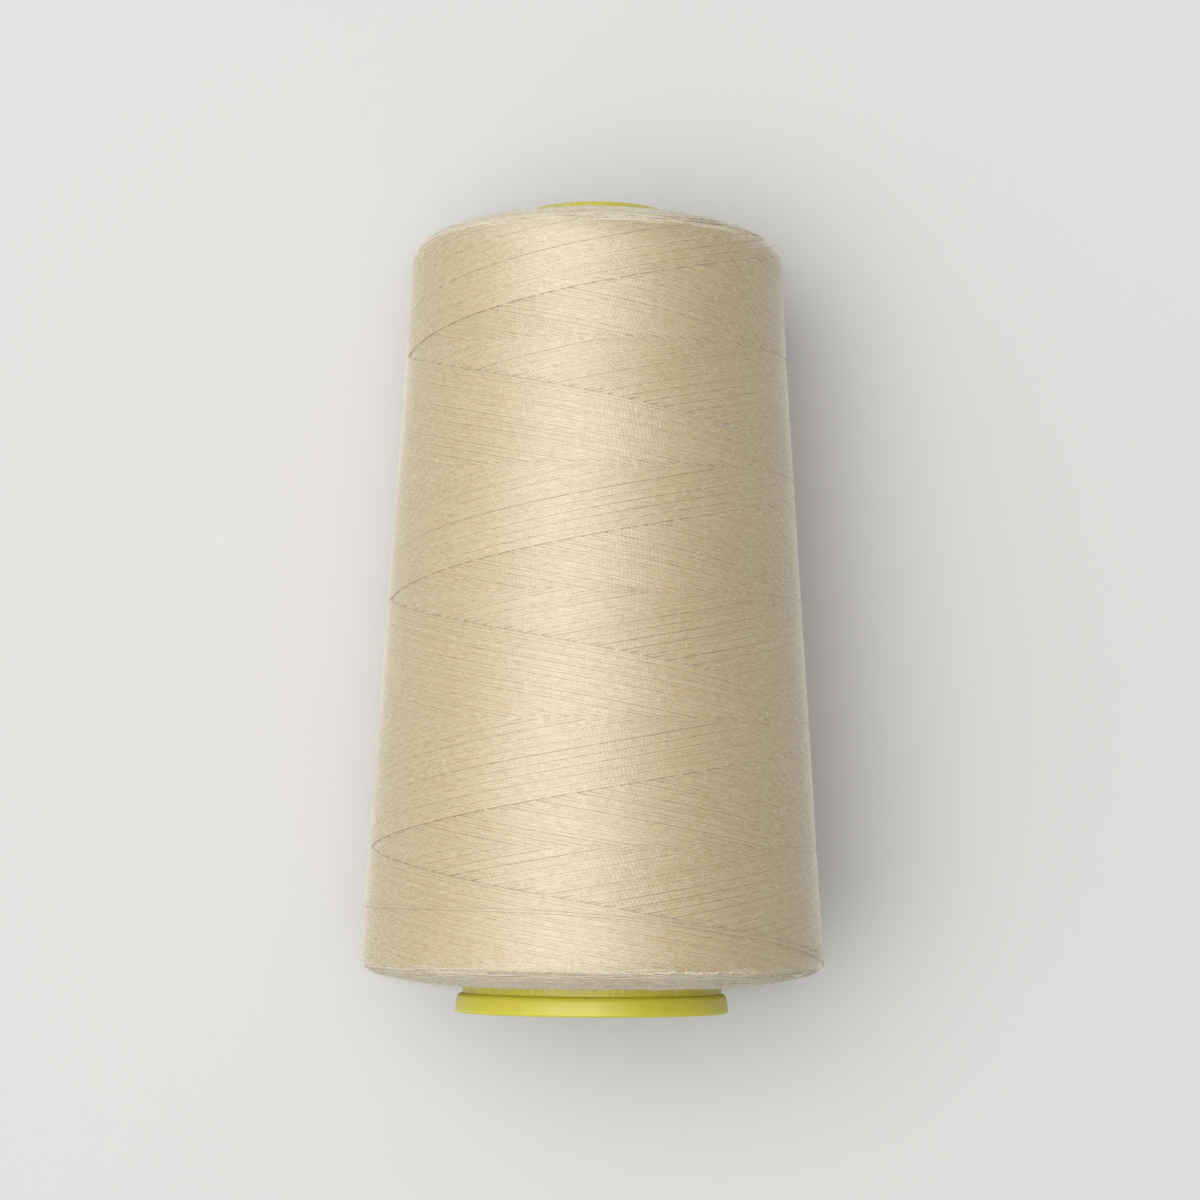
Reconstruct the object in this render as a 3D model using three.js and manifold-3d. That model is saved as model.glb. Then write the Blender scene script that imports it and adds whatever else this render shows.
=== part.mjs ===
// A cone of sewing thread lying on its side. The thread is cross-wound into a tapering package
// on a thin-walled plastic cone, which shows as a foot flange at the base and a rim at the nose.
// Millimetres, +Z up, the table at Z = 0, +Y from the base of the cone to its nose.

import * as THREE from 'three';
import { mergeVertices } from 'three/addons/utils/BufferGeometryUtils.js';
import Module from 'manifold-3d';

// Driving dimensions. Heights run along the cone's own axis, from the foot of the flange.

// The plastic cone.
const coneHeight = 125;
const coneHalfAngle = THREE.MathUtils.degToRad( 4 + 20 / 60 );
const coneWall = 1.4;
const flangeHeight = 3;
const flangeFootRadius = 21.15;
const flangeTopRadius = 20.9;
const flangeCorner = 0.4;
const neckRadius = 20; // outside of the wall, where it leaves the flange
const footBevel = 0.5; // inside the foot

// The wound package.
const packageRadius = 35.85; // the widest turn
const rimHeight = 8.3; // height of the widest turn
const shoulderHeight = 115.4; // where the straight side ends
const packageHalfAngle = THREE.MathUtils.degToRad( 3.76 );
const rimCorner = { across: 4.1, along: 2.6 };
const shoulderCorner = { across: 6.2, along: 5.8 };
const baseFaceHeight = 4.24; // the base face bulges to here beside the plastic
const topFaceHeight = 123.2; // the top face rises to here beside the plastic
const rimFaceAngle = THREE.MathUtils.degToRad( 22 ); // where the rounding meets the base face
const shoulderFaceAngle = THREE.MathUtils.degToRad( 24 ); // where it meets the top face
const seatGap = 0.3; // between the thread and the plastic

// How it lies.
const flatDepth = 0.25; // the side that it lies on is pressed flat by this much
const tableSize = { width: 120, length: 400, depth: 40 };

// Fineness of the surfaces.
const packageSegments = 96;
const coneSegments = 72;

// Points on a quarter of an ellipse or less. At angle 0 a point is straight along the axis from
// the centre, at 90 degrees straight outwards. along is negative towards the foot.
function roundedCorner( centre, across, along, fromAngle, toAngle, steps ) {

  return Array.from( { length: steps + 1 }, ( _, i ) => {

    const angle = THREE.MathUtils.lerp( fromAngle, toAngle, i / steps );
    return new THREE.Vector2( centre.x + across * Math.sin( angle ), centre.y + along * Math.cos( angle ) );

  } );

}

// Points on an end face of the package, from the plastic outwards. The face leaves the plastic
// square to the axis and bends as a power of the distance, so that it meets the corner smoothly.
function endFace( inner, outer, outerSlope, steps ) {

  const reach = outer.x - inner.x;
  const rise = outer.y - inner.y;
  const power = outerSlope * reach / rise;
  return Array.from( { length: steps }, ( _, i ) => {

    const t = i / steps;
    return new THREE.Vector2( inner.x + reach * t, inner.y + rise * t ** power );

  } );

}

function coneRadius( height ) {

  return neckRadius - ( height - flangeHeight ) * Math.tan( coneHalfAngle );

}

function sideRadius( height ) {

  return packageRadius - ( height - rimHeight ) * Math.tan( packageHalfAngle );

}

// Outline of the package's section, as ( radius, height ), anticlockwise from the bore's foot.
function packageOutline() {

  const quarter = Math.PI / 2;
  const rimCentre = new THREE.Vector2( packageRadius - rimCorner.across, rimHeight );
  const rim = roundedCorner( rimCentre, rimCorner.across, - rimCorner.along, rimFaceAngle, quarter, 6 );
  const rimSlope = rimCorner.along / rimCorner.across * Math.tan( rimFaceAngle );
  const boreFoot = new THREE.Vector2( coneRadius( baseFaceHeight ) + seatGap, baseFaceHeight );
  const baseFace = endFace( boreFoot, rim[ 0 ], rimSlope, 5 );

  const shoulderCentre = new THREE.Vector2(
    sideRadius( shoulderHeight ) - shoulderCorner.across, shoulderHeight );
  const shoulder = roundedCorner( shoulderCentre, shoulderCorner.across, shoulderCorner.along,
    quarter, shoulderFaceAngle, 10 );
  const shoulderSlope = - shoulderCorner.along / shoulderCorner.across * Math.tan( shoulderFaceAngle );
  const boreHead = new THREE.Vector2( coneRadius( topFaceHeight ) + seatGap, topFaceHeight );
  const topFace = endFace( boreHead, shoulder.at( - 1 ), shoulderSlope, 6 ).reverse();

  return [ ...baseFace, ...rim, ...shoulder, ...topFace, boreFoot ];

}

// Outline of the plastic cone's section, anticlockwise from the inside of its foot.
function coneOutline() {

  const quarter = Math.PI / 2;
  const boreRadius = ( height ) => coneRadius( height ) - coneWall;
  const noseRounding = coneWall / 2;
  const noseHeight = coneHeight - noseRounding;
  const noseCentre = new THREE.Vector2( coneRadius( noseHeight ) - noseRounding, noseHeight );
  const footCorner = new THREE.Vector2( flangeFootRadius - flangeCorner, flangeCorner );
  const topCorner = new THREE.Vector2( flangeTopRadius - flangeCorner, flangeHeight - flangeCorner );

  return [
    new THREE.Vector2( boreRadius( footBevel ), footBevel ),
    new THREE.Vector2( boreRadius( 0 ) + footBevel, 0 ),
    ...roundedCorner( footCorner, flangeCorner, - flangeCorner, 0, quarter, 3 ),
    ...roundedCorner( topCorner, flangeCorner, flangeCorner, quarter, 0, 3 ),
    new THREE.Vector2( neckRadius, flangeHeight ),
    ...roundedCorner( noseCentre, noseRounding, noseRounding, quarter, - quarter, 6 ),
    new THREE.Vector2( boreRadius( footBevel ), footBevel ),
  ];

}

// Turns a closed outline about the +Y axis into a closed surface with shared vertices.
function turned( outline, segments ) {

  const geometry = new THREE.LatheGeometry( outline, segments );
  geometry.deleteAttribute( 'normal' );
  geometry.deleteAttribute( 'uv' );
  return mergeVertices( geometry );

}

function toSolid( wasm, geometry ) {

  return new wasm.Manifold( new wasm.Mesh( {
    numProp: 3,
    vertProperties: new Float32Array( geometry.getAttribute( 'position' ).array ),
    triVerts: new Uint32Array( geometry.getIndex().array ),
  } ) );

}

function toGeometry( solid ) {

  const mesh = solid.getMesh();
  const geometry = new THREE.BufferGeometry();
  geometry.setAttribute( 'position', new THREE.BufferAttribute( mesh.vertProperties, 3 ) );
  geometry.setIndex( new THREE.BufferAttribute( mesh.triVerts, 1 ) );
  return geometry;

}

// The block of table under Z = 0, which presses the package flat where it lies.
function tableBlock() {

  const block = new THREE.BoxGeometry( tableSize.width, tableSize.length, tableSize.depth );
  block.translate( 0, 0, - tableSize.depth / 2 );
  block.deleteAttribute( 'normal' );
  block.deleteAttribute( 'uv' );
  return mergeVertices( block );

}

const wasm = await Module();
wasm.setup();

// The cone lies nose down by the package's half angle, so that the package's side is level.
const lying = new THREE.Group();
lying.rotation.x = - packageHalfAngle;
lying.position.z = packageRadius * Math.cos( packageHalfAngle )
  + rimHeight * Math.sin( packageHalfAngle ) - flatDepth;
lying.updateMatrix();

const plasticCone = new THREE.Mesh(
  turned( coneOutline(), coneSegments ),
  new THREE.MeshStandardMaterial( { color: 0xc6bd5c, roughness: 0.42, metalness: 0 } ),
);
plasticCone.name = 'plastic_cone';
lying.add( plasticCone );

const wound = turned( packageOutline(), packageSegments ).applyMatrix4( lying.matrix );
const threadPackage = new THREE.Mesh(
  toGeometry( toSolid( wasm, wound ).subtract( toSolid( wasm, tableBlock() ) ) ),
  new THREE.MeshStandardMaterial( { color: 0xd9cdae, roughness: 0.85, metalness: 0 } ),
);
threadPackage.name = 'thread_package';

const threadCone = new THREE.Group();
threadCone.add( lying, threadPackage );

// The origin lies on the table, under the middle of the whole.
const middle = new THREE.Box3().setFromObject( threadCone, true ).getCenter( new THREE.Vector3() );
threadCone.position.set( - middle.x, - middle.y, 0 );

export default threadCone;
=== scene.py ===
"""A cone of cream sewing thread lying on a pale table.

The thread is cross-wound: rising and falling strokes lie over each other, the newest on top, on a
package that tapers towards the nose of its translucent plastic cone.
Lengths are in millimetres until a mesh is made, and then in metres, in the frame's own axes.
"""
import logging
import math
from dataclasses import dataclass
from enum import Enum
from functools import cached_property
from typing import Callable

import bpy
import numpy as np
from bpy.types import Material, Node, NodeSocket, NodeTree
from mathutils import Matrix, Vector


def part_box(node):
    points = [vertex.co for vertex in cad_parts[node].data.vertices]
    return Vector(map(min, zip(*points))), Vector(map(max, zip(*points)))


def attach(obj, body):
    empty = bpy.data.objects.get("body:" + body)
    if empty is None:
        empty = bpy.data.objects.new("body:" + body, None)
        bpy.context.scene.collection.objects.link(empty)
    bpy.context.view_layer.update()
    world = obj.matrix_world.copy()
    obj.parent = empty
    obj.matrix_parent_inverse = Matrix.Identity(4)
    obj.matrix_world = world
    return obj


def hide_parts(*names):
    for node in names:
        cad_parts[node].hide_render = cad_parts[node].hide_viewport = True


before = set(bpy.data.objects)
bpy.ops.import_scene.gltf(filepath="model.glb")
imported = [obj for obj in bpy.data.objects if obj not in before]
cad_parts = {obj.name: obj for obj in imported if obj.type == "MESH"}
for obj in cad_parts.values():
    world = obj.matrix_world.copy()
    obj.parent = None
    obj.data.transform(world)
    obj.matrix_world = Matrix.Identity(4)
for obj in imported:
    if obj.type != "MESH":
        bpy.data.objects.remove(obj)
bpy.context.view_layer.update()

MM = 0.001
QUARTER_TURN = math.pi / 2.0
FULL_TURN = 2.0 * math.pi
LOG = logging.getLogger("thread_cone")

THREAD_NODE = "thread_package"
PLASTIC_NODE = "plastic_cone"
ROOT = "root"
UV_LAYER = "UVMap"
TONE_LAYER = "tone"
FINE_DETAIL = 3.0

# Sizes that two parts share, in millimetres and radians.
PACKAGE_HALF_ANGLE = math.radians(3.76)
FLANGE_FOOT_RADIUS = 21.15
FLANGE_CORNER = 0.4

Pair = tuple[float, float]
Triple = tuple[float, float, float]
Colour = tuple[float, float, float, float]
Array = np.ndarray
Section = tuple[Array | float, Array | float, int]
Inputs = dict[str | int, object]


class Slot(Enum):
    """The record's material slots."""

    THREAD = "thread"
    PLASTIC = "cone_plastic"


class Course(Enum):
    """The two directions in which the thread climbs the package as the turn angle grows."""

    RISING = 1
    FALLING = -1


def smooth_step(values: Array) -> Array:
    """Three t squared minus two t cubed, held at 0 and 1 outside the unit range."""
    held = np.clip(values, 0.0, 1.0)
    return held * held * (3.0 - 2.0 * held)


def arc(centre: Pair, across: float, along: float, start: float, end: float, steps: int) -> Array:
    """An elliptical arc: the centre plus across times sine and along times cosine.

    Args:
        centre: Its radius and height.
        across: Reach across the axis, negative for towards it.
        along: Reach along the axis, negative for towards the foot.
        start: First angle, in radians.
        end: Last angle.
        steps: Number of points.

    Returns:
        Radii and heights of the points, as (2, steps).
    """
    angle = np.linspace(start, end, steps)
    return np.array((centre[0] + across * np.sin(angle), centre[1] + along * np.cos(angle)))


# ---- Where the cone lies ----


@dataclass(frozen=True)
class Lie:
    """How the cone lies: its axis dips towards the nose by the package's half angle."""

    dip: float = PACKAGE_HALF_ANGLE

    def foot_centre(self) -> Pair:
        """Finds the middle of the foot from the box of the plastic cone.

        The flange's corner is a quarter circle. Its highest point lies one corner along the axis
        from the foot at the full radius, and its point furthest back is the corner's own centre
        less one corner radius.

        Returns:
            The foot's centre as (Y, Z) in millimetres.
        """
        low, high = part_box(PLASTIC_NODE)
        sine, cosine = math.sin(self.dip), math.cos(self.dip)
        up = high[2] / MM + FLANGE_CORNER * sine - FLANGE_FOOT_RADIUS * cosine
        inner = FLANGE_FOOT_RADIUS - FLANGE_CORNER
        back = low[1] / MM + FLANGE_CORNER + inner * sine - FLANGE_CORNER * cosine
        return back, up

    def place(self, radius: Array, turn: Array, height: Array) -> Array:
        """Puts points given on the cone into the frame.

        A point is radius times (sine, cosine) of its turn angle across the axis, the angle
        being 0 on the upper side and growing towards +X, and height along the axis.
        """
        back, up = self.foot_centre()
        return self.aim(radius, turn, height) + np.array((0.0, back, up))

    def aim(self, outwards: Array, turn: Array, along: Array) -> Array:
        """Turns directions given on the cone into the frame.

        Args:
            outwards: Their part away from the axis.
            turn: Angle about the axis, in radians.
            along: Their part along the axis.

        Returns:
            The directions in the frame, with one more axis of three.
        """
        sine, cosine = math.sin(self.dip), math.cos(self.dip)
        across, rise = outwards * np.sin(turn), outwards * np.cos(turn)
        along = np.broadcast_to(along, across.shape)
        return np.stack((across, along * cosine + rise * sine, rise * cosine - along * sine), axis=-1)


# ---- Meshes from arrays ----


@dataclass
class Surface:
    """Arrays of one mesh: points, quads with a chart place for each corner, ends and a tone.

    The ends are flat faces of as many corners as a tube has sides.
    """

    MIDDLE_TONE = 0.5

    points: Array
    quads: Array
    corner_uv: Array
    tone: Array
    ends: Array


def cells(grid: Array) -> Array:
    """The four corners of each cell, in order round it, of grids of (batch, rows, columns)."""
    corners = grid[:, :-1, :-1], grid[:, :-1, 1:], grid[:, 1:, 1:], grid[:, 1:, :-1]
    return np.stack(corners, axis=3)


def swept_tubes(
    centres: Array, outward: Array, half_width: Array, half_height: Array, sides: int, tone: Array
) -> Surface:
    """Carries an oval section along each path and shuts both ends.

    The section's point k lies half_width times the cosine of its angle across the path and
    half_height times the sine of it outwards. Across is the cross product of the path's
    direction and the outward direction. U is the length along the path in millimetres and V
    goes once round.

    Args:
        centres: Paths, as (paths, rings, 3).
        outward: Unit directions away from what the paths lie on, of the same shape.
        half_width: Half width at each ring, as (paths, rings).
        half_height: Half height at each ring.
        sides: Sides of the section.
        tone: Shade at each ring, 0 to 1.

    Returns:
        The surface.
    """
    ahead = np.gradient(centres, axis=1)
    ahead /= np.linalg.norm(ahead, axis=-1, keepdims=True)
    across = np.cross(ahead, outward)
    across /= np.linalg.norm(across, axis=-1, keepdims=True)
    away = np.cross(across, ahead)
    angle = FULL_TURN * np.arange(sides) / sides
    width = half_width[..., None, None] * np.cos(angle)[:, None] * across[:, :, None, :]
    height = half_height[..., None, None] * np.sin(angle)[:, None] * away[:, :, None, :]
    points = centres[:, :, None, :] + width + height
    length = np.zeros(centres.shape[:2])
    length[:, 1:] = np.cumsum(np.linalg.norm(np.diff(centres, axis=1), axis=-1), axis=1)
    shape = length.shape + (sides + 1,)
    u, v = length[..., None], np.arange(sides + 1) / sides
    uv = np.stack((np.broadcast_to(u, shape), np.broadcast_to(v, shape)), axis=-1)
    index = np.arange(length.size * sides).reshape(length.shape + (sides,))
    return Surface(
        points=points.reshape(-1, 3),
        quads=cells(np.concatenate((index, index[:, :, :1]), axis=2)).reshape(-1, 4),
        corner_uv=cells(uv).reshape(-1, 2),
        tone=np.repeat(tone, sides),
        ends=np.concatenate((index[:, 0], index[:, -1, ::-1])),
    )


def turned_surface(lie: Lie, radius: Array, height: Array, segments: int) -> Surface:
    """Turns a closed outline about the axis: every outline point at every turn angle.

    U is the turn and V the length along the outline.

    Args:
        lie: How the cone lies.
        radius: Outline radii, as (rows, 1) or (rows, segments), the first row not repeated.
        height: Outline heights, as (rows,).
        segments: Steps round.

    Returns:
        The surface.
    """
    radius = np.broadcast_to(radius, (len(height), segments))
    turn = FULL_TURN * np.arange(segments) / segments
    points = lie.place(radius, turn, np.broadcast_to(height[:, None], radius.shape))
    index = np.arange(radius.size).reshape(1, *radius.shape)
    index = np.pad(index, ((0, 0), (0, 1), (0, 1)), mode="wrap")
    outline = np.stack((radius[:, 0], height), axis=-1)
    reach = np.linalg.norm(np.roll(outline, -1, axis=0) - outline, axis=-1)
    along = np.concatenate(((0.0,), np.cumsum(reach)))
    uv = np.stack(np.meshgrid(np.arange(segments + 1) / segments, along), axis=-1)[None]
    outwards = [0, 3, 2, 1]
    return Surface(
        points=points.reshape(-1, 3),
        quads=cells(index)[:, :, :, outwards].reshape(-1, 4),
        corner_uv=cells(uv)[:, :, :, outwards].reshape(-1, 2),
        tone=np.full(radius.size, Surface.MIDDLE_TONE),
        ends=np.empty((0, 3), dtype=int),
    )


def add_piece(name: str, surface: Surface, material: Material, node: str) -> None:
    """Adds a piece at the origin, flat where it lies on the table, that stands for a CAD node.

    Args:
        name: Name of the piece.
        surface: Its arrays, in millimetres.
        material: Its finish.
        node: The CAD node.
    """
    points = surface.points.copy()
    points[:, 2] = np.maximum(points[:, 2], 0.0)
    mesh = bpy.data.meshes.new(name)
    mesh.vertices.add(len(points))
    mesh.vertices.foreach_set("co", (points * MM).astype(np.float32).ravel())
    corners = np.concatenate((surface.quads.ravel(), surface.ends.ravel())).astype(np.int32)
    widths = np.repeat((4, surface.ends.shape[1]), (len(surface.quads), len(surface.ends)))
    starts = np.concatenate(((0,), np.cumsum(widths)[:-1])).astype(np.int32)
    mesh.loops.add(len(corners))
    mesh.loops.foreach_set("vertex_index", corners)
    mesh.polygons.add(len(widths))
    mesh.polygons.foreach_set("loop_start", starts)
    mesh.polygons.foreach_set("use_smooth", np.arange(len(widths)) < len(surface.quads))
    mesh.update(calc_edges=True)
    chart = np.zeros((len(corners), 2), dtype=np.float32)
    chart[: len(surface.corner_uv)] = surface.corner_uv
    mesh.uv_layers.new(name=UV_LAYER).data.foreach_set("uv", chart.ravel())
    shade = mesh.attributes.new(TONE_LAYER, "FLOAT", "POINT")
    shade.data.foreach_set("value", surface.tone.astype(np.float32))
    mesh.materials.append(material)
    piece = bpy.data.objects.new(name, mesh)
    bpy.context.scene.collection.objects.link(piece)
    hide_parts(node)
    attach(piece, ROOT)
    LOG.info("%s: %d faces, stands for %s", name, len(mesh.polygons), node)


# ---- Shader building blocks ----


@dataclass
class NodeBench:
    """A node tree with short ways to add and feed nodes."""

    tree: NodeTree

    def feed(self, node: Node, values: Inputs) -> None:
        """Links a node's inputs to sockets, or sets them to plain values."""
        for label, value in values.items():
            if isinstance(value, NodeSocket):
                self.tree.links.new(value, node.inputs[label])
            else:
                node.inputs[label].default_value = value

    def make(self, kind: str, output: str | int, values: Inputs, **own: object) -> NodeSocket:
        """Adds a node and feeds it.

        Args:
            kind: Its type.
            output: The output to return.
            values: Input to socket or plain value.
            **own: Its own properties.

        Returns:
            The output.
        """
        node = self.tree.nodes.new(kind)
        for name, value in own.items():
            setattr(node, name, value)
        self.feed(node, values)
        return node.outputs[output]

    def math(self, operation: str, *values: object) -> NodeSocket:
        """A Math node on sockets or numbers."""
        return self.make("ShaderNodeMath", 0, dict(enumerate(values)), operation=operation)

    def clamp(self, value: NodeSocket) -> NodeSocket:
        """A value held between 0 and 1."""
        return self.make("ShaderNodeClamp", "Result", {"Value": value})

    def mix(self, share: object, first: object, second: object) -> NodeSocket:
        """A colour mix by a share."""
        values = {"Factor": share, "A": first, "B": second}
        return self.make("ShaderNodeMix", "Result", values, data_type="RGBA")

    def place(self) -> NodeSocket:
        """The place on the object, in metres."""
        return self.make("ShaderNodeTexCoord", "Object", {})

    def noise(self, vector: object, scale: object, detail: float = 2.0) -> NodeSocket:
        """Noise from 0 to 1 at a vector."""
        values = {"Vector": vector, "Scale": scale, "Detail": detail}
        return self.make("ShaderNodeTexNoise", "Fac", values)

    def chart(self, part: str) -> NodeSocket:
        """A part of a strand's chart: X, the millimetres along it, or Y, which goes once round it."""
        chart = self.make("ShaderNodeUVMap", "UV", {}, uv_map=UV_LAYER)
        return self.make("ShaderNodeSeparateXYZ", part, {0: chart})

    def bump(self, height: NodeSocket, depth: float) -> NodeSocket:
        """The normal of a relief, whose depth is in millimetres."""
        return self.make("ShaderNodeBump", "Normal", {"Height": height, "Distance": depth * MM})


@dataclass
class GroupBench(NodeBench):
    """The tree of a shader node group with one output."""

    @classmethod
    def start(cls, name: str, inputs: Inputs, output: str) -> "GroupBench":
        """Starts a group.

        Args:
            name: Name of the group.
            inputs: Socket name to default, which is a colour or a number.
            output: Name of the output, which is a colour if it is Color, and otherwise a number.

        Returns:
            A bench on the group's tree.
        """
        number, colour = "NodeSocketFloat", "NodeSocketColor"
        tree = bpy.data.node_groups.new(name, "ShaderNodeTree")
        for label, default in inputs.items():
            kind = colour if isinstance(default, tuple) else number
            socket = tree.interface.new_socket(label, in_out="INPUT", socket_type=kind)
            socket.default_value = default
        kind = colour if output == "Color" else number
        tree.interface.new_socket(output, in_out="OUTPUT", socket_type=kind)
        tree.nodes.new("NodeGroupInput").name = "Inputs"
        tree.nodes.new("NodeGroupOutput").name = "Outputs"
        return cls(tree)

    def given(self, label: str) -> NodeSocket:
        """One of the group's inputs."""
        return self.tree.nodes["Inputs"].outputs[label]

    def finish(self, value: NodeSocket) -> NodeTree:
        """Feeds the group's output and returns the group."""
        self.feed(self.tree.nodes["Outputs"], {0: value})
        return self.tree


def spun_mottle() -> NodeTree:
    """Builds the uneven tone of spun yarn.

    The colour goes from Light to Dark by a sum less Cut. Its terms, each times a weight, are a
    noise of the size of a fibre bundle, a noise a few centimetres wide and the strand's tone,
    which is random and, on the end faces, also a ramp of painted shade and sheen.
    Where a third noise is high, flecks lean to Warm. They are three times as long round the cone
    as along it.

    Returns:
        The group.
    """
    bench = GroupBench.start(
        "spun_mottle",
        {
            "Light": (0.8, 0.7, 0.5, 1.0),
            "Dark": (0.6, 0.5, 0.3, 1.0),
            "Warm": (0.46, 0.31, 0.15, 1.0),
            "Fine": 2600.0,
            "Fine Weight": 1.5,
            "Broad": 45.0,
            "Broad Weight": 0.35,
            "Tone Weight": 0.5,
            "Cut": 0.78,
            "Fleck": 750.0,
            "Fleck Gain": 5.0,
            "Fleck Offset": -2.3,
            "Fleck Share": 0.4,
        },
        "Color",
    )
    given = bench.given
    place = bench.place()
    tone = bench.make("ShaderNodeAttribute", "Fac", {}, attribute_name=TONE_LAYER)
    fine = bench.noise(place, given("Fine"))
    broad = bench.noise(place, given("Broad"))
    share = bench.math("MULTIPLY", broad, given("Broad Weight"))
    share = bench.math("MULTIPLY_ADD", fine, given("Fine Weight"), share)
    share = bench.math("ADD", share, bench.math("MULTIPLY", tone, given("Tone Weight")))
    share = bench.math("SUBTRACT", share, given("Cut"))
    colour = bench.mix(bench.clamp(share), given("Light"), given("Dark"))
    longer_round = {0: place, 1: (1.0, 3.0, 1.0)}
    drawn_out = bench.make("ShaderNodeVectorMath", "Vector", longer_round, operation="MULTIPLY")
    fleck = bench.noise(drawn_out, given("Fleck"), FINE_DETAIL)
    lean = bench.math("MULTIPLY_ADD", fleck, given("Fleck Gain"), given("Fleck Offset"))
    lean = bench.math("MULTIPLY", bench.clamp(lean), given("Fleck Share"))
    return bench.finish(bench.mix(lean, colour, given("Warm")))


def painted_groove_shade() -> NodeTree:
    """Builds a mask for painted shade on a strand's flanks, in the grooves by its neighbours.

    The mask rises from 0 to 1 as the absolute cosine of a full turn of V goes from Start to 1. A
    noise, times Dash Gain plus Dash Offset, breaks it into dashes about Dash millimetres long.

    Returns:
        The group.
    """
    inputs = {"Start": 0.6, "Dash": 1.2, "Dash Gain": 2.0, "Dash Offset": -0.3}
    bench = GroupBench.start("painted_groove_shade", inputs, "Mask")
    around = bench.math("MULTIPLY", bench.chart("Y"), FULL_TURN)
    side = bench.math("ABSOLUTE", bench.math("COSINE", around))
    ramp = {"Value": side, "From Min": bench.given("Start")}
    slope = bench.make("ShaderNodeMapRange", "Result", ramp, interpolation_type="SMOOTHSTEP")
    dashes = bench.noise(bench.place(), bench.math("DIVIDE", 1.0 / MM, bench.given("Dash")))
    broken = bench.math("MULTIPLY_ADD", dashes, bench.given("Dash Gain"), bench.given("Dash Offset"))
    return bench.finish(bench.clamp(bench.math("MULTIPLY", slope, broken)))


def ply_twist() -> NodeTree:
    """Builds the height of plied yarn: ridges that run round the strand as they run along it.

    Height is half plus half the sine of a full turn times U over Pitch plus V times Plies, with
    uneven fibre bundles on it.

    Returns:
        The group.
    """
    inputs = {"Pitch": 0.6, "Plies": 2.0, "Bundle": 1600.0, "Bundle Weight": 2.4}
    bench = GroupBench.start("ply_twist", inputs, "Height")
    along = bench.math("DIVIDE", bench.chart("X"), bench.given("Pitch"))
    around = bench.math("MULTIPLY", bench.chart("Y"), bench.given("Plies"))
    wave = bench.math("SINE", bench.math("MULTIPLY", bench.math("ADD", along, around), FULL_TURN))
    ridge = bench.math("MULTIPLY_ADD", wave, 0.5, 0.5)
    fibre = bench.noise(bench.place(), bench.given("Bundle"))
    return bench.finish(bench.math("MULTIPLY_ADD", fibre, bench.given("Bundle Weight"), ridge))


@dataclass
class MaterialBench(NodeBench):
    """The tree of a material with a Principled BSDF."""

    material: Material

    @classmethod
    def start(cls, name: str) -> "MaterialBench":
        """Starts a material.

        Args:
            name: Its name.

        Returns:
            A bench on its tree.
        """
        made = bpy.data.materials.new(name)
        made.use_nodes = True
        return cls(made.node_tree, made)

    def group(self, build: Callable[[], NodeTree], output: str, values: Inputs) -> NodeSocket:
        """One output of the shader group that a function of its name builds on first use."""
        tree = bpy.data.node_groups.get(build.__name__) or build()
        return self.make("ShaderNodeGroup", output, values, node_tree=tree)

    def finish(self, values: Inputs) -> Material:
        """Feeds the Principled BSDF and returns the material."""
        self.feed(self.tree.nodes["Principled BSDF"], values)
        return self.material


@dataclass(frozen=True)
class ThreadFinish:
    """Spun polyester sewing thread: cream, silky along the strands, with painted shade on the flanks."""

    name: str
    light: Colour = (0.58, 0.48, 0.28, 1.0)
    dark: Colour = (0.44, 0.345, 0.17, 1.0)
    # Painted shade: the warm dark colour laid on the strands' flanks, in the grooves between them.
    flank: Colour = (0.32, 0.16, 0.045, 1.0)
    roughness: float = 0.7
    anisotropy: float = 0.78
    along_strand: float = 0.25
    ior: float = 2.4
    sheen: float = 1.0
    sheen_roughness: float = 0.3
    sheen_tint: Colour = (1.0, 0.99, 0.96, 1.0)
    ply_depth: float = 0.015
    fuzz: float = 3500.0
    flecks: float = 0.55
    strand: bool = True

    def material(self) -> Material:
        """Builds the material.

        Returns:
            The material. A strand also has painted shade on its flanks, its twist and a gloss drawn out
            along it.
        """
        bench = MaterialBench.start(self.name)
        tones = {"Light": self.light, "Dark": self.dark, "Fleck Share": self.flecks}
        colour = bench.group(spun_mottle, "Color", tones)
        own = {}
        if self.strand:
            # Mixes in the painted groove shade where a strand meets its neighbours.
            colour = bench.mix(bench.group(painted_groove_shade, "Mask", {}), colour, self.flank)
            relief = bench.group(ply_twist, "Height", {})
            own["Tangent"] = bench.make(
                "ShaderNodeTangent", "Tangent", {}, direction_type="UV_MAP", uv_map=UV_LAYER
            )
        else:
            relief = bench.noise(bench.place(), self.fuzz, FINE_DETAIL)
        return bench.finish(
            {
                "Base Color": colour,
                "Roughness": self.roughness,
                "IOR": self.ior,
                "Anisotropic": self.anisotropy,
                "Anisotropic Rotation": self.along_strand,
                "Sheen Weight": self.sheen,
                "Sheen Roughness": self.sheen_roughness,
                "Sheen Tint": self.sheen_tint,
                "Normal": bench.bump(relief, self.ply_depth),
            }
            | own
        )


def matt_thread(name: str, **own: object) -> Material:
    """A material of thread that neither shines along its strands nor has flecks."""
    return ThreadFinish(name, anisotropy=0.0, ior=1.5, flecks=0.0, **own).material()


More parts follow.
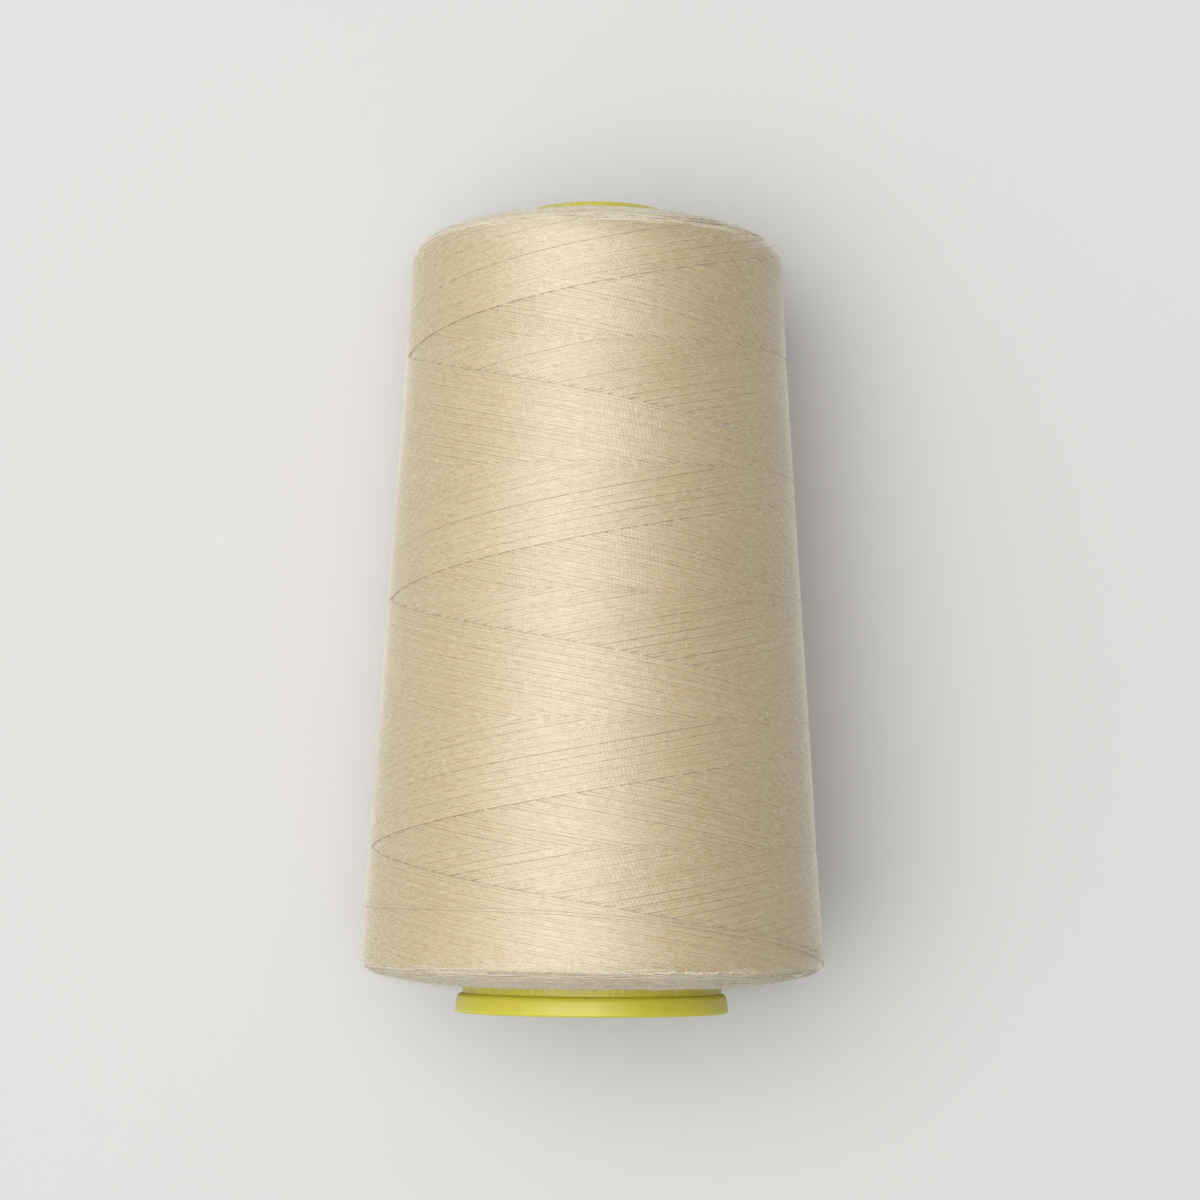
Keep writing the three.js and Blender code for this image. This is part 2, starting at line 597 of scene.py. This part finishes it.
@dataclass(frozen=True)
class PlasticFinish:
    """Moulded polypropylene: yellow-green, satin, with a little light passing through it."""

    name: str = "yellow_green_plastic"
    bright: Colour = (0.595, 0.55, 0.062, 1.0)
    deep: Colour = (0.54, 0.485, 0.042, 1.0)
    cloud: float = 90.0
    roughness: float = 0.38
    roughness_spread: float = 0.16
    roughness_grain: float = 600.0
    specular: float = 0.35
    subsurface: float = 0.6
    subsurface_radius: Triple = (1.0, 0.9, 0.3)
    subsurface_depth: float = 3.0
    pore: float = 1500.0
    pore_depth: float = 0.02

    def material(self) -> Material:
        """Builds the material.

        Returns:
            The material, cloudy in colour and roughness as moulded plastic is.
        """
        bench = MaterialBench.start(self.name)
        place = bench.place()
        grain = bench.noise(place, self.roughness_grain)
        smoothest = self.roughness - self.roughness_spread / 2.0
        return bench.finish(
            {
                "Base Color": bench.mix(bench.noise(place, self.cloud), self.bright, self.deep),
                "Roughness": bench.math("MULTIPLY_ADD", grain, self.roughness_spread, smoothest),
                "Specular IOR Level": self.specular,
                "Subsurface Weight": self.subsurface,
                "Subsurface Radius": self.subsurface_radius,
                "Subsurface Scale": self.subsurface_depth * MM,
                "Normal": bench.bump(bench.noise(place, self.pore, FINE_DETAIL), self.pore_depth),
            }
        )


@dataclass(frozen=True)
class TableFinish:
    """A matt pale table top."""

    colour: Colour = (0.642, 0.635, 0.625, 1.0)
    roughness: float = 0.7
    specular: float = 0.2

    def material(self) -> Material:
        """Builds the material."""
        own = {"Roughness": self.roughness, "Specular IOR Level": self.specular}
        return MaterialBench.start("table_top").finish({"Base Color": self.colour} | own)


# ---- The plastic cone ----


@dataclass(frozen=True)
class PlasticCone:
    """The moulded cone: a thin tapering wall with a foot flange and a rounded nose rim."""

    lie: Lie
    height: float = 125.0
    half_angle: float = math.radians(4.0 + 20.0 / 60.0)
    wall: float = 1.4
    neck_radius: float = 20.0
    neck_fillet: float = 0.1
    flange_height: float = 3.0
    flange_top_radius: float = 20.9
    flange_brow: float = 0.8
    foot_bevel: float = 0.5
    rib_count: int = 105
    rib_height: float = 0.16
    rib_start: float = 3.5
    rib_end: float = 9.0
    rib_fade: float = 0.5
    corner_steps: int = 6
    fillet_steps: int = 5
    rib_steps: int = 16
    rib_rise_steps: int = 2
    side_steps: int = 10
    nose_steps: int = 13
    bore_steps: int = 12
    samples_per_rib: int = 4

    def radius(self, height: Array) -> Array:
        """Outside radius of the tapering wall: it narrows evenly from the neck."""
        return self.neck_radius - (height - self.flange_height) * math.tan(self.half_angle)

    def outline(self) -> Array:
        """Outline of the wall's section, from the inside of the foot, anticlockwise.

        A few points are left out where the ribs start, so that they rise in one slope.

        Returns:
            Radii and heights, as (2, points).
        """
        corner, brow, fillet = FLANGE_CORNER, self.flange_brow, self.neck_fillet
        foot_centre = FLANGE_FOOT_RADIUS - corner, corner
        brow_centre = self.flange_top_radius - brow, self.flange_height - brow
        fillet_centre = self.neck_radius + fillet, self.flange_height + fillet
        ribbed = np.linspace(self.rib_start, self.rib_end, self.rib_steps)
        plain = np.linspace(self.rib_end, self.height - self.wall, self.side_steps)
        side = np.concatenate((ribbed[self.rib_rise_steps :], plain[1:]))
        rounding = self.wall / 2.0
        nose_height = self.height - rounding
        nose_centre = self.radius(nose_height) - rounding, nose_height
        bore = np.linspace(self.height - self.wall, self.foot_bevel, self.bore_steps)
        mouth = self.radius(0.0) - self.wall + self.foot_bevel
        parts = (
            ((mouth,), (0.0,)),
            arc(foot_centre, corner, -corner, 0.0, QUARTER_TURN, self.corner_steps),
            arc(brow_centre, brow, brow, QUARTER_TURN, 0.0, self.corner_steps),
            arc(fillet_centre, -fillet, -fillet, 0.0, QUARTER_TURN, self.fillet_steps),
            (self.radius(side), side),
            arc(nose_centre, rounding, rounding, QUARTER_TURN, -QUARTER_TURN, self.nose_steps),
            (self.radius(bore) - self.wall, bore),
        )
        return np.concatenate(parts, axis=1)

    def surface(self) -> Surface:
        """Turns the outline, with fine ribs that grip the thread at the neck.

        A rib's height is half a cosine wave round the neck, faded out along the axis at both
        ends of the ribbed stretch.

        Returns:
            The surface.
        """
        radius, height = self.outline()
        segments = self.rib_count * self.samples_per_rib
        turn = FULL_TURN * np.arange(segments) / segments
        wave = 0.5 + 0.5 * np.cos(self.rib_count * turn)
        begun = smooth_step((height - self.rib_start) / self.rib_fade)
        fade = begun * smooth_step((self.rib_end - height) / self.rib_fade)
        outside = radius > self.radius(height) - self.wall / 2.0
        lift = self.rib_height * np.where(outside, fade, 0.0)
        return turned_surface(self.lie, radius[:, None] + lift[:, None] * wave, height, segments)

    def build(self, finish: PlasticFinish) -> None:
        """Makes the moulding in a plastic."""
        add_piece("cone_moulding", self.surface(), finish.material(), PLASTIC_NODE)


# ---- The wound package ----


@dataclass(frozen=True)
class WoundForm:
    """The package's outer form: a straight taper between a rim corner and a shoulder."""

    radius: float = 35.85
    half_angle: float = PACKAGE_HALF_ANGLE
    rim_height: float = 8.3
    rim_across: float = 4.1
    rim_along: float = 2.6
    rim_face_angle: float = math.radians(22.0)
    shoulder_height: float = 115.4
    shoulder_across: float = 6.6
    shoulder_along: float = 5.8
    shoulder_face_angle: float = math.radians(24.0)
    shoulder_rise: float = 0.45
    rise_power: float = 18.0
    base_height: float = 4.24
    top_height: float = 123.4
    bore_foot: float = 20.2
    bore_head: float = 11.2
    base_steps: int = 60
    rim_steps: int = 40
    side_steps: int = 120
    shoulder_steps: int = 60
    top_steps: int = 40

    @staticmethod
    def face(inner: Pair, outer: Array, slope: float, steps: int) -> Array:
        """An end face that bends as a power of the distance, to meet the corner at its slope.

        Args:
            inner: Radius and height where it starts, beside the plastic.
            outer: Radius and height where it ends, at the corner.
            slope: Its slope there.
            steps: Number of points.

        Returns:
            Radii and heights, as (2, steps).
        """
        reach, rise = outer[0] - inner[0], outer[1] - inner[1]
        share = np.linspace(0.0, 1.0, steps)
        return np.array((inner[0] + reach * share, inner[1] + rise * share ** (slope * reach / rise)))

    def outline(self) -> Array:
        """Outer outline from the bore's foot round the rim, up the side and over the shoulder.

        Near the shoulder the side rises by a high power of the share of its height.

        Returns:
            Radii and heights, as (2, points). The heights grow all the way.
        """
        tall = self.shoulder_height - self.rim_height
        narrowed = tall * math.tan(self.half_angle)
        top_radius = self.radius - narrowed + self.shoulder_rise
        rim_sizes = self.rim_across, -self.rim_along, self.rim_face_angle, QUARTER_TURN
        rim = arc((self.radius - self.rim_across, self.rim_height), *rim_sizes, self.rim_steps)
        shoulder_centre = top_radius - self.shoulder_across, self.shoulder_height
        sizes = self.shoulder_across, self.shoulder_along, QUARTER_TURN, self.shoulder_face_angle
        shoulder = arc(shoulder_centre, *sizes, self.shoulder_steps)
        rim_slope = self.rim_along / self.rim_across * math.tan(self.rim_face_angle)
        top_slope = -self.shoulder_along / self.shoulder_across * math.tan(self.shoulder_face_angle)
        base = self.face((self.bore_foot, self.base_height), rim[:, 0], rim_slope, self.base_steps)
        top = self.face((self.bore_head, self.top_height), shoulder[:, -1], top_slope, self.top_steps)
        share = np.linspace(0.0, 1.0, self.side_steps)[1:-1]
        side_radius = self.radius - narrowed * share + self.shoulder_rise * share**self.rise_power
        side = side_radius, self.rim_height + tall * share
        return np.concatenate((base[:, :-1], rim, side, shoulder, top[:, -2::-1]), axis=1)


@dataclass(frozen=True)
class Chart:
    """The package's outline as a chart: radius, height and outward direction by length."""

    length: Array
    radius: Array
    height: Array
    out_radius: Array
    out_height: Array

    @classmethod
    def of(cls, form: WoundForm, rows: int = 900, even_over: int = 7) -> "Chart":
        """Charts a form.

        The outward direction is the outline's direction turned by a right angle, evened over a
        few points so that it doesn't jump where an arc meets a line.

        Args:
            form: The form.
            rows: Points of the chart, evenly spaced.
            even_over: Points over which the direction is evened.

        Returns:
            The chart.
        """
        radius, height = form.outline()
        length = np.concatenate(((0.0,), np.cumsum(np.hypot(np.diff(radius), np.diff(height)))))
        even = np.linspace(0.0, length[-1], rows)
        radius, height = np.interp(even, length, radius), np.interp(even, length, height)
        outward = np.array((np.gradient(height), -np.gradient(radius)))
        padded = np.pad(outward, ((0, 0), (even_over // 2, even_over // 2)), mode="edge")
        kernel = np.ones(even_over) / even_over
        out_radius, out_height = (np.convolve(part, kernel, mode="valid") for part in padded)
        size = np.hypot(out_radius, out_height)
        return cls(even, radius, height, out_radius / size, out_height / size)

    def at(self, length: Array, depth: Array | float) -> tuple[Array, ...]:
        """Looks up the outline a depth below its surface.

        Args:
            length: Length along the outline.
            depth: Distance inwards.

        Returns:
            Radius, height, and the outward direction's two parts.
        """
        lines = self.radius, self.height, self.out_radius, self.out_height
        radius, height, out_radius, out_height = (np.interp(length, self.length, line) for line in lines)
        return radius - depth * out_radius, height - depth * out_height, out_radius, out_height

    def length_at(self, height: Array) -> Array:
        """Length along the outline at a height."""
        return np.interp(height, self.height, self.length)


@dataclass(frozen=True)
class Winding:
    """The cross-winding: how strokes of thread climb, turn back and cover each other."""

    strokes: int = 86
    lead: float = 37.9
    foot_turn: float = 6.4
    head_turn: float = 120.1
    rising_edge: float = 71.6
    falling_edge: float = 54.9
    turn_rounding: float = 0.1
    half_width: float = 0.31
    half_height: float = 0.075
    edge_relief: float = 0.09
    under_depth: float = 0.14
    crossing_share: float = 0.02
    gather: float = 0.03
    gathered: int = 3
    points_per_turn: int = 64
    sides: int = 6

    @property
    def climb(self) -> float:
        """Climb along the axis for each radian of turn."""
        return self.lead / FULL_TURN

    def edge(self, course: Course) -> float:
        """Height of the course's newest thread on the upper side."""
        return self.rising_edge if course is Course.RISING else self.falling_edge

    def age(self, course: Course, turn: Array, height: Array) -> Array:
        """Age of a course's thread at a place, from 0, the newest, to 1, the oldest.

        It is the distance along the axis from the newest thread's helix, as a share of the lead.
        """
        sign = course.value
        return np.mod(sign * (height - self.edge(course) - sign * self.climb * turn) / self.lead, 1.0)

    def path(self, course: Course, age: Array) -> tuple[Array, Array]:
        """The helix of one stroke from the foot to the head, rounded where it turns back.

        The height grows evenly with the angle x from the foot. At both ends the angle is
        replaced by the root of its square plus the rounding's square, which bends the helix
        into a smooth turn.

        Args:
            course: Rising or falling.
            age: Age of each stroke, as (strokes, 1).

        Returns:
            Turn angles and heights, as (strokes, points).
        """
        reach = (self.head_turn - self.foot_turn) / self.climb
        steps = int(round(reach / FULL_TURN * self.points_per_turn)) + 1
        from_foot = np.linspace(0.0, reach, steps)[None, :]
        to_head = reach - from_foot
        past_head = np.hypot(to_head, self.turn_rounding) - to_head
        bent = np.hypot(from_foot, self.turn_rounding) - past_head
        sign = course.value
        foot = sign * (self.foot_turn - self.edge(course) - sign * age * self.lead) / self.climb
        height = self.foot_turn + self.climb * bent
        return foot + sign * from_foot, np.broadcast_to(height, (len(age), steps))


@dataclass(frozen=True)
class ThreadBed:
    """The wound form that strands are laid on, with its winding and where it lies."""

    lie: Lie
    winding: Winding = Winding()
    form: WoundForm = WoundForm()
    seed: int = 11
    bore_gap: float = 0.3
    face_overlap: float = 1.2

    @cached_property
    def chart(self) -> Chart:
        """The form's chart."""
        return Chart.of(self.form)

    @cached_property
    def bounds(self) -> tuple[float, float, float, float]:
        """Where the end faces lie.

        Returns:
            Outline lengths where the base's face starts and ends, and then the shoulder's.
        """
        wind = self.winding
        ends = np.array((wind.foot_turn + self.face_overlap, wind.head_turn - self.face_overlap))
        base_end, shoulder_start = self.chart.length_at(ends)
        return self.bore_gap, base_end, shoulder_start, self.chart.length[-1] - self.bore_gap

    def lay(
        self, turn: Array, length: Array, depth: Array, section: Section, tone: Array | float
    ) -> Surface:
        """Lays strands on the form.

        Args:
            turn: Turn angles of the strands' points, as (strands, points).
            length: Outline lengths of the points.
            depth: Depths below the surface.
            section: Half width, half height and number of sides.
            tone: Shade of the strands, 0 to 1.

        Returns:
            The strands.
        """
        radius, height, out_radius, out_height = self.chart.at(length, depth)
        centres = self.lie.place(radius, turn, height)
        outward = self.lie.aim(out_radius, turn, out_height)
        half_width, half_height, shade = (
            np.broadcast_to(value, turn.shape) for value in (section[0], section[1], tone)
        )
        return swept_tubes(centres, outward, half_width, half_height, section[2], shade)


@dataclass(frozen=True)
class SideStrokes:
    """All strokes of one course, which wander a little and are gathered in small groups."""

    bed: ThreadBed
    course: Course
    drift: float = 0.014
    wander: float = 0.012
    waves: int = 3
    pace: Pair = (0.6, 3.2)
    tone: float = 0.35
    tone_spread: float = 0.16
    tone_by_age: float = 0.12

    def surface(self) -> Surface:
        """Lays the strokes.

        A stroke lies on the surface where it is newer than the other course's thread there, and
        one thread lower where it is older. The surface drops with the age of the thread that
        is on top, so the newest threads end in a raised edge.

        Returns:
            The strands.
        """
        wind = self.bed.winding
        rng = np.random.default_rng(self.bed.seed + self.course.value)
        order = np.arange(wind.strokes)[:, None]
        age = (order + 0.5) / wind.strokes
        turn, height = wind.path(self.course, age)
        from_middle = wind.gathered // 2 - order % wind.gathered
        drift = wind.gather * from_middle + rng.normal(0.0, self.drift, order.shape)
        phase = rng.uniform(0.0, FULL_TURN, (self.waves, wind.strokes, 1))
        pace = rng.uniform(*self.pace, (self.waves, wind.strokes, 1))
        height = height + drift + self.wander * np.sin(pace * turn + phase).sum(axis=0)
        other = wind.age(Course(-self.course.value), turn, height)
        under = smooth_step(0.5 + 0.5 * (age - other) / wind.crossing_share)
        depth = wind.half_height + wind.edge_relief * np.minimum(age, other)
        depth = depth + wind.under_depth * under
        tone = self.tone + rng.normal(0.0, self.tone_spread, order.shape) + self.tone_by_age * age
        section = wind.half_width, wind.half_height, wind.sides
        length = self.bed.chart.length_at(height)
        return self.bed.lay(turn, length, depth, section, np.clip(tone, 0.0, 1.0))


@dataclass(frozen=True)
class TurnBacks:
    """The short turn-backs that show on an end face, between two outline lengths."""

    bed: ThreadBed
    start: float
    end: float
    count: int
    seed: int
    tones: Pair
    tone_spread: float = 0.15
    half_reach: Pair = (5.0, 9.0)
    lean: float = 0.25
    bend: float = 0.1
    depth: float = 0.06
    depth_spread: float = 0.12
    dip: float = 0.5
    points: int = 9
    section: Section = (0.2, 0.16, 5)

    def surface(self) -> Surface:
        """Lays the turn-backs.

        Each is an arc of a turn at one place on the outline, which dips below the surface at
        both ends as the square of the distance from its middle. The mean tone, a ramp of painted
        light across the face, goes evenly from the first of the two to the last.

        Returns:
            The strands.
        """
        rng = np.random.default_rng(self.bed.seed + self.seed)
        each = self.count, 1
        span = self.end - self.start
        place = self.start + span * (np.arange(self.count)[:, None] + rng.uniform(0, 1, each)) / self.count
        middle = rng.uniform(0.0, FULL_TURN, each)
        half = rng.uniform(*self.half_reach, each)
        share = np.linspace(-1.0, 1.0, self.points)[None, :]
        turn = middle + share * half / self.bed.chart.at(place, 0.0)[0]
        lean = rng.normal(0.0, self.lean, each)
        length = place + lean * share + rng.normal(0.0, self.bend, each) * share**2
        depth = self.depth + rng.uniform(0.0, self.depth_spread, each) + self.dip * share**2
        run = (place - self.start) / span
        mean_tone = self.tones[0] + (self.tones[1] - self.tones[0]) * run
        tone = mean_tone + rng.normal(0.0, self.tone_spread, each)
        return self.bed.lay(turn, length, depth, self.section, tone)


@dataclass(frozen=True)
class LastTurn:
    """The last thread wound on, which runs level and then down the newest falling stroke."""

    bed: ThreadBed
    height: float = 16.9
    span: Pair = (-3.3, 1.75)
    rounding: float = 0.5
    sway: float = 0.25
    sway_pace: float = 1.7
    lift: float = 0.8
    tuck: float = 4.0
    tuck_span: float = 0.25
    points: int = 90
    section: Section = (0.22, 0.17, 8)
    tone: float = 0.1

    def surface(self) -> Surface:
        """Lays the thread.

        Its height is the level part's height before the joining turn angle, and falls with the
        stroke's climb after it. The bend between them is the root of the square of the angle plus
        the square of the rounding. It lies on the surface, and both ends dip into it. Its lift and
        its tuck are counted in half heights of the other threads.

        Returns:
            The strand.
        """
        wind = self.bed.winding
        turn = np.linspace(*self.span, self.points)[None, :]
        past = 0.5 * (turn + np.hypot(turn, self.rounding))
        height = self.height + self.sway * np.sin(self.sway_pace * turn) - wind.climb * past
        from_end = np.minimum(turn - self.span[0], self.span[1] - turn)
        tucked = 1.0 - smooth_step(from_end / self.tuck_span)
        depth = -self.lift * wind.half_height + self.tuck * wind.half_height * tucked
        return self.bed.lay(turn, self.bed.chart.length_at(height), depth, self.section, self.tone)


@dataclass(frozen=True)
class LooseFibres:
    """Fibre ends of one course's threads that stand off all over the package."""

    bed: ThreadBed
    course: Course
    count: int = 20000
    seed: int = 300
    edge: float = 0.4
    reach: Pair = (0.5, 1.7)
    slope: float = 0.17
    spread: float = 0.7
    root: float = 0.1
    lift: float = 0.3
    lift_most: float = 1.1
    thickness: float = 0.016
    taper: float = 0.5
    sides: int = 3
    tone: float = 0.2

    def surface(self) -> Surface:
        """Lays the fibres.

        Each is straight and starts just under the surface. Its heading is the course's slope
        plus a spread, and its height over the surface grows evenly to its lift.

        Returns:
            The fibres.
        """
        rng = np.random.default_rng(self.bed.seed + self.seed + self.course.value)
        each = self.count, 1
        share = np.array(((0.0, 1.0),))
        whole = self.bed.chart.length[-1]
        start = rng.uniform(self.edge, whole - self.edge, each)
        reach = rng.uniform(*self.reach, each)
        heading = self.course.value * self.slope + rng.normal(0.0, self.spread, each)
        along = reach * np.cos(heading) * rng.choice((-1.0, 1.0), each) * share
        length = start + reach * np.sin(heading) * share
        length = np.clip(length, self.bed.bore_gap, whole - self.bed.bore_gap)
        turn = rng.uniform(0.0, FULL_TURN, each) + along / self.bed.chart.at(length, 0.0)[0]
        lift = np.minimum(rng.exponential(self.lift, each), self.lift_most)
        depth = self.root * (1.0 - share) - lift * share
        thick = self.thickness * (1.0 - self.taper * share)
        return self.bed.lay(turn, length, depth, (thick, thick, self.sides), self.tone)


@dataclass(frozen=True)
class InnerThread:
    """What is under the outer threads: the form a little smaller, closed along the bore."""

    bed: ThreadBed
    side_depth: float = 0.5
    base_depth: float = 0.2
    head_depth: float = 0.45
    slope: float = 4.0
    rows: int = 110
    segments: int = 144

    def surface(self) -> Surface:
        """Turns the form, its depth going in a smooth step from the end faces' to the side's.

        Returns:
            The surface.
        """
        length = np.linspace(0.0, self.bed.chart.length[-1], self.rows)
        _, rim, shoulder, _ = self.bed.bounds
        inside = np.minimum(length - rim, shoulder - length) / self.slope
        at_face = np.where(length < 0.5 * (rim + shoulder), self.base_depth, self.head_depth)
        depth = at_face + (self.side_depth - at_face) * smooth_step(inside)
        radius, height, _, _ = self.bed.chart.at(length, depth)
        radius[0], radius[-1] = self.bed.form.bore_foot, self.bed.form.bore_head
        return turned_surface(self.bed.lie, radius[:, None], height, self.segments)


@dataclass(frozen=True)
class ThreadPackage:
    """The wound thread: strokes on the side, turn-backs on the end faces, and what is under."""

    bed: ThreadBed

    def build(self) -> None:
        """Makes all pieces of the package."""
        outer = ThreadFinish("cream_thread").material()
        inner = matt_thread(
            "cream_thread_inside",
            light=(0.66, 0.59, 0.44, 1.0),
            dark=(0.54, 0.45, 0.29, 1.0),
            strand=False,
            ply_depth=0.12,
        )
        loose = matt_thread(
            "cream_fibres",
            light=(0.86, 0.80, 0.66, 1.0),
            dark=(0.76, 0.68, 0.52, 1.0),
            strand=False,
            ply_depth=0.0,
        )
        # Painted shade: a greyer, darker copy of the cream thread for the base face, which light hardly
        # reaches.
        shade = matt_thread(
            "shaded_cream_thread",
            light=(0.74, 0.68, 0.56, 1.0),
            dark=(0.50, 0.42, 0.28, 1.0),
            flank=(0.46, 0.37, 0.24, 1.0),
            sheen=0.1,
        )
        # Painted sheen: a paler, whiter copy of the cream thread for the rounded shoulder.
        pale = matt_thread(
            "sheen_painted_cream_thread",
            light=(0.80, 0.76, 0.65, 1.0),
            dark=(0.56, 0.46, 0.27, 1.0),
            flank=(0.58, 0.49, 0.34, 1.0),
        )
        bed = self.bed
        base, head = bed.bounds[:2], bed.bounds[2:]
        pieces = {
            "rising_thread": (SideStrokes(bed, Course.RISING), outer),
            "falling_thread": (SideStrokes(bed, Course.FALLING), outer),
            "last_turn": (LastTurn(bed), outer),
            # Painted shade: the base face's tone darkens from the bore towards the rim.
            "base_turn_backs": (TurnBacks(bed, *base, count=1100, seed=101, tones=(0.15, 0.9)), shade),
            # Painted light: the shoulder's tone runs from painted shade where it starts to painted sheen
            # near the nose.
            "shoulder_turn_backs": (TurnBacks(bed, *head, count=1000, seed=202, tones=(0.9, -0.2)), pale),
            "inner_thread": (InnerThread(bed), inner),
            "rising_fibres": (LooseFibres(bed, Course.RISING), loose),
            "falling_fibres": (LooseFibres(bed, Course.FALLING), loose),
        }
        for name, (form, material) in pieces.items():
            add_piece(name, form.surface(), material, THREAD_NODE)


# ---- Table, light and camera ----


@dataclass(frozen=True)
class SoftDisk:
    """A large soft disk of light that aims at the cone, and may show in gloss alone."""

    name: str
    power: float
    size: float
    place: Triple
    aim: Triple = (0.0, 0.0, 0.03)
    gloss_only: bool = False

    def build(self) -> None:
        """Hangs the disk."""
        lamp = bpy.data.lights.new(self.name, "AREA")
        lamp.shape = "DISK"
        lamp.size = self.size
        lamp.energy = self.power
        holder = bpy.data.objects.new(self.name, lamp)
        holder.location = self.place
        holder.visible_diffuse = not self.gloss_only
        towards = np.array(self.aim) - np.array(self.place)
        pan = math.atan2(towards[1], towards[0])
        fall = math.acos(-towards[2] / np.linalg.norm(towards))
        holder.rotation_euler = (0.0, -fall, pan)
        bpy.context.scene.collection.objects.link(holder)


@dataclass(frozen=True)
class Studio:
    """A pale table top, large soft light up on the left, and its glow on the room round it."""

    table_size: float = 6.0
    key: SoftDisk = SoftDisk("soft_key", power=9.5, size=1.15, place=(-0.23, 0.05, 1.2))
    silk: SoftDisk = SoftDisk(
        "silk_light", power=19.0, size=1.9, place=(-0.30, 0.05, 1.2), gloss_only=True
    )
    glow_towards: Triple = (-0.48, 0.07, 0.9)
    glow_strength: float = 1.2
    glow_narrowness: float = 3.0
    room_strength: float = 0.15

    def table(self) -> None:
        """Lays the table top at the frame's floor."""
        half = self.table_size / 2.0
        corners = [(-half, -half, 0.0), (half, -half, 0.0), (half, half, 0.0), (-half, half, 0.0)]
        mesh = bpy.data.meshes.new("table_top")
        mesh.from_pydata(corners, [], [(0, 1, 2, 3)])
        mesh.materials.append(TableFinish().material())
        top = bpy.data.objects.new("table_top", mesh)
        bpy.context.scene.collection.objects.link(top)

    def surroundings(self) -> None:
        """Sets the light of the room.

        Its strength is an even part plus a glow: e to the power of the narrowness times the cosine
        of the angle from the glow's middle, less one.
        """
        world = bpy.data.worlds.new("room")
        world.use_nodes = True
        bench = NodeBench(world.node_tree)
        middle = tuple(np.array(self.glow_towards) / np.linalg.norm(self.glow_towards))
        ray = bench.make("ShaderNodeTexCoord", "Generated", {})
        dot = {0: ray, 1: middle}
        cosine = bench.make("ShaderNodeVectorMath", "Value", dot, operation="DOT_PRODUCT")
        beside = bench.math("SUBTRACT", cosine, 1.0)
        glow = bench.math("EXPONENT", bench.math("MULTIPLY", beside, self.glow_narrowness))
        strength = bench.math("MULTIPLY_ADD", glow, self.glow_strength, self.room_strength)
        white = (1.0, 1.0, 1.0, 1.0)
        bench.feed(world.node_tree.nodes["Background"], {"Color": white, "Strength": strength})
        bpy.context.scene.world = world
        bpy.context.scene.view_settings.view_transform = "Standard"

    def build(self) -> None:
        """Sets up table and light."""
        self.table()
        self.key.build()
        self.silk.build()
        self.surroundings()


@dataclass(frozen=True)
class Viewpoint:
    """A camera above the table that looks almost straight down, with a long lens."""

    lie: Lie
    aim_height: float = 64.0
    distance: float = 577.4
    beside: float = 0.86
    lean: float = math.radians(0.34)
    roll: float = math.radians(0.41)
    lens: float = 111.0
    sensor: float = 36.0
    clip: Pair = (0.01, 20.0)

    def build(self) -> None:
        """Places the camera.

        It stands the distance away from a point on the cone's axis, leaning a little towards
        the nose, and is rolled a little about its own line of sight.
        """
        data = bpy.data.cameras.new("camera")
        data.sensor_width = self.sensor
        data.lens = self.lens
        data.clip_start, data.clip_end = self.clip
        camera = bpy.data.objects.new("camera", data)
        target = self.lie.place(np.array(0.0), np.array(0.0), np.array(self.aim_height))
        back = np.array((0.0, -math.sin(self.lean), math.cos(self.lean))) * self.distance
        camera.location = (target + back + np.array((self.beside, 0.0, 0.0))) * MM
        camera.rotation_euler = (self.lean, 0.0, self.roll)
        bpy.context.scene.collection.objects.link(camera)
        bpy.context.scene.camera = camera


def main() -> None:
    """Builds the scene, one sub-assembly after another."""
    logging.basicConfig(level=logging.INFO, format="%(name)s: %(message)s")
    lie = Lie()
    Viewpoint(lie).build()
    Studio().build()
    PlasticCone(lie).build(PlasticFinish())
    ThreadPackage(ThreadBed(lie)).build()


if __name__ == "__main__":
    main()
